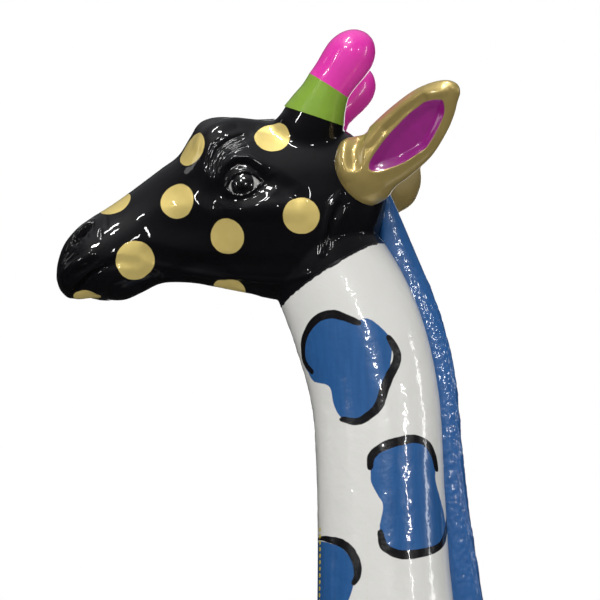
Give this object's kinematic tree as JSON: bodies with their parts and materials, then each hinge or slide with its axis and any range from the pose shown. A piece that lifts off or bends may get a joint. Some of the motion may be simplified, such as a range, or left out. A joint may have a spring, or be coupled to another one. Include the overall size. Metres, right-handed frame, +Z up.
{
  "type": "giraffe statue",
  "caption": "Standing giraffe statue with a glossy painted moulded shell, long neck, ears, horns, mane and tail on a hidden steel frame.",
  "frame": {"origin": "on the floor under the middle of the statue's box", "axes": "+Z up, the giraffe faces -X, its left side is -Y"},
  "size_m": [1.1516, 0.34, 2.3837],
  "materials": {
    "white_lacquer": "white two-pack gloss under clear lacquer, with blue patches and black brush strokes",
    "black_lacquer": "black two-pack gloss under clear lacquer, with gold dots",
    "gold_lacquer": "gold bronze paint under clear lacquer",
    "pink_lacquer": "pink gloss over a leaf-green foot, under clear lacquer",
    "blue_lacquer": "blue gloss over combed hair relief, under clear lacquer",
    "bare_laminate": "bare glass-fibre laminate",
    "mild_steel": "hot-rolled mild steel, welded",
    "birch_plywood": "sawn birch plywood"
  },
  "bodies": {
    "root": {"head_shell": "black_lacquer", "eye_left": "black_lacquer", "eye_right": "black_lacquer", "ear_left": "gold_lacquer", "ear_right": "gold_lacquer", "ear_peg_left": "mild_steel", "ear_peg_right": "mild_steel", "ossicone_left": "pink_lacquer", "ossicone_right": "pink_lacquer", "ossicone_peg_left": "mild_steel", "ossicone_peg_right": "mild_steel", "neck_shell_left": "white_lacquer", "neck_shell_right": "white_lacquer", "mane": "blue_lacquer", "head_sleeve": "bare_laminate", "neck_sleeve": "bare_laminate", "neck_bar": "mild_steel", "neck_bulkhead_lower": "birch_plywood", "neck_bulkhead_upper": "birch_plywood", "trunk_shell_left": "white_lacquer", "trunk_shell_right": "white_lacquer", "tail": "white_lacquer", "tail_tuft": "blue_lacquer", "tail_peg": "mild_steel", "spine_bar": "mild_steel", "front_leg_shell_left": "white_lacquer", "front_leg_shell_right": "white_lacquer", "front_leg_sleeve_left": "bare_laminate", "front_leg_sleeve_right": "bare_laminate", "front_hoof_left": "gold_lacquer", "front_hoof_right": "gold_lacquer", "front_foot_plate_left": "mild_steel", "front_foot_plate_right": "mild_steel", "front_leg_rod_left": "mild_steel", "front_leg_rod_right": "mild_steel", "front_crossbar": "mild_steel", "hind_leg_shell_left": "white_lacquer", "hind_leg_shell_right": "white_lacquer", "hind_leg_sleeve_left": "bare_laminate", "hind_leg_sleeve_right": "bare_laminate", "hind_hoof_left": "gold_lacquer", "hind_hoof_right": "gold_lacquer", "hind_foot_plate_left": "mild_steel", "hind_foot_plate_right": "mild_steel", "hind_leg_rod_left": "mild_steel", "hind_leg_rod_right": "mild_steel", "hind_crossbar": "mild_steel"}
  },
  "joints": []
}
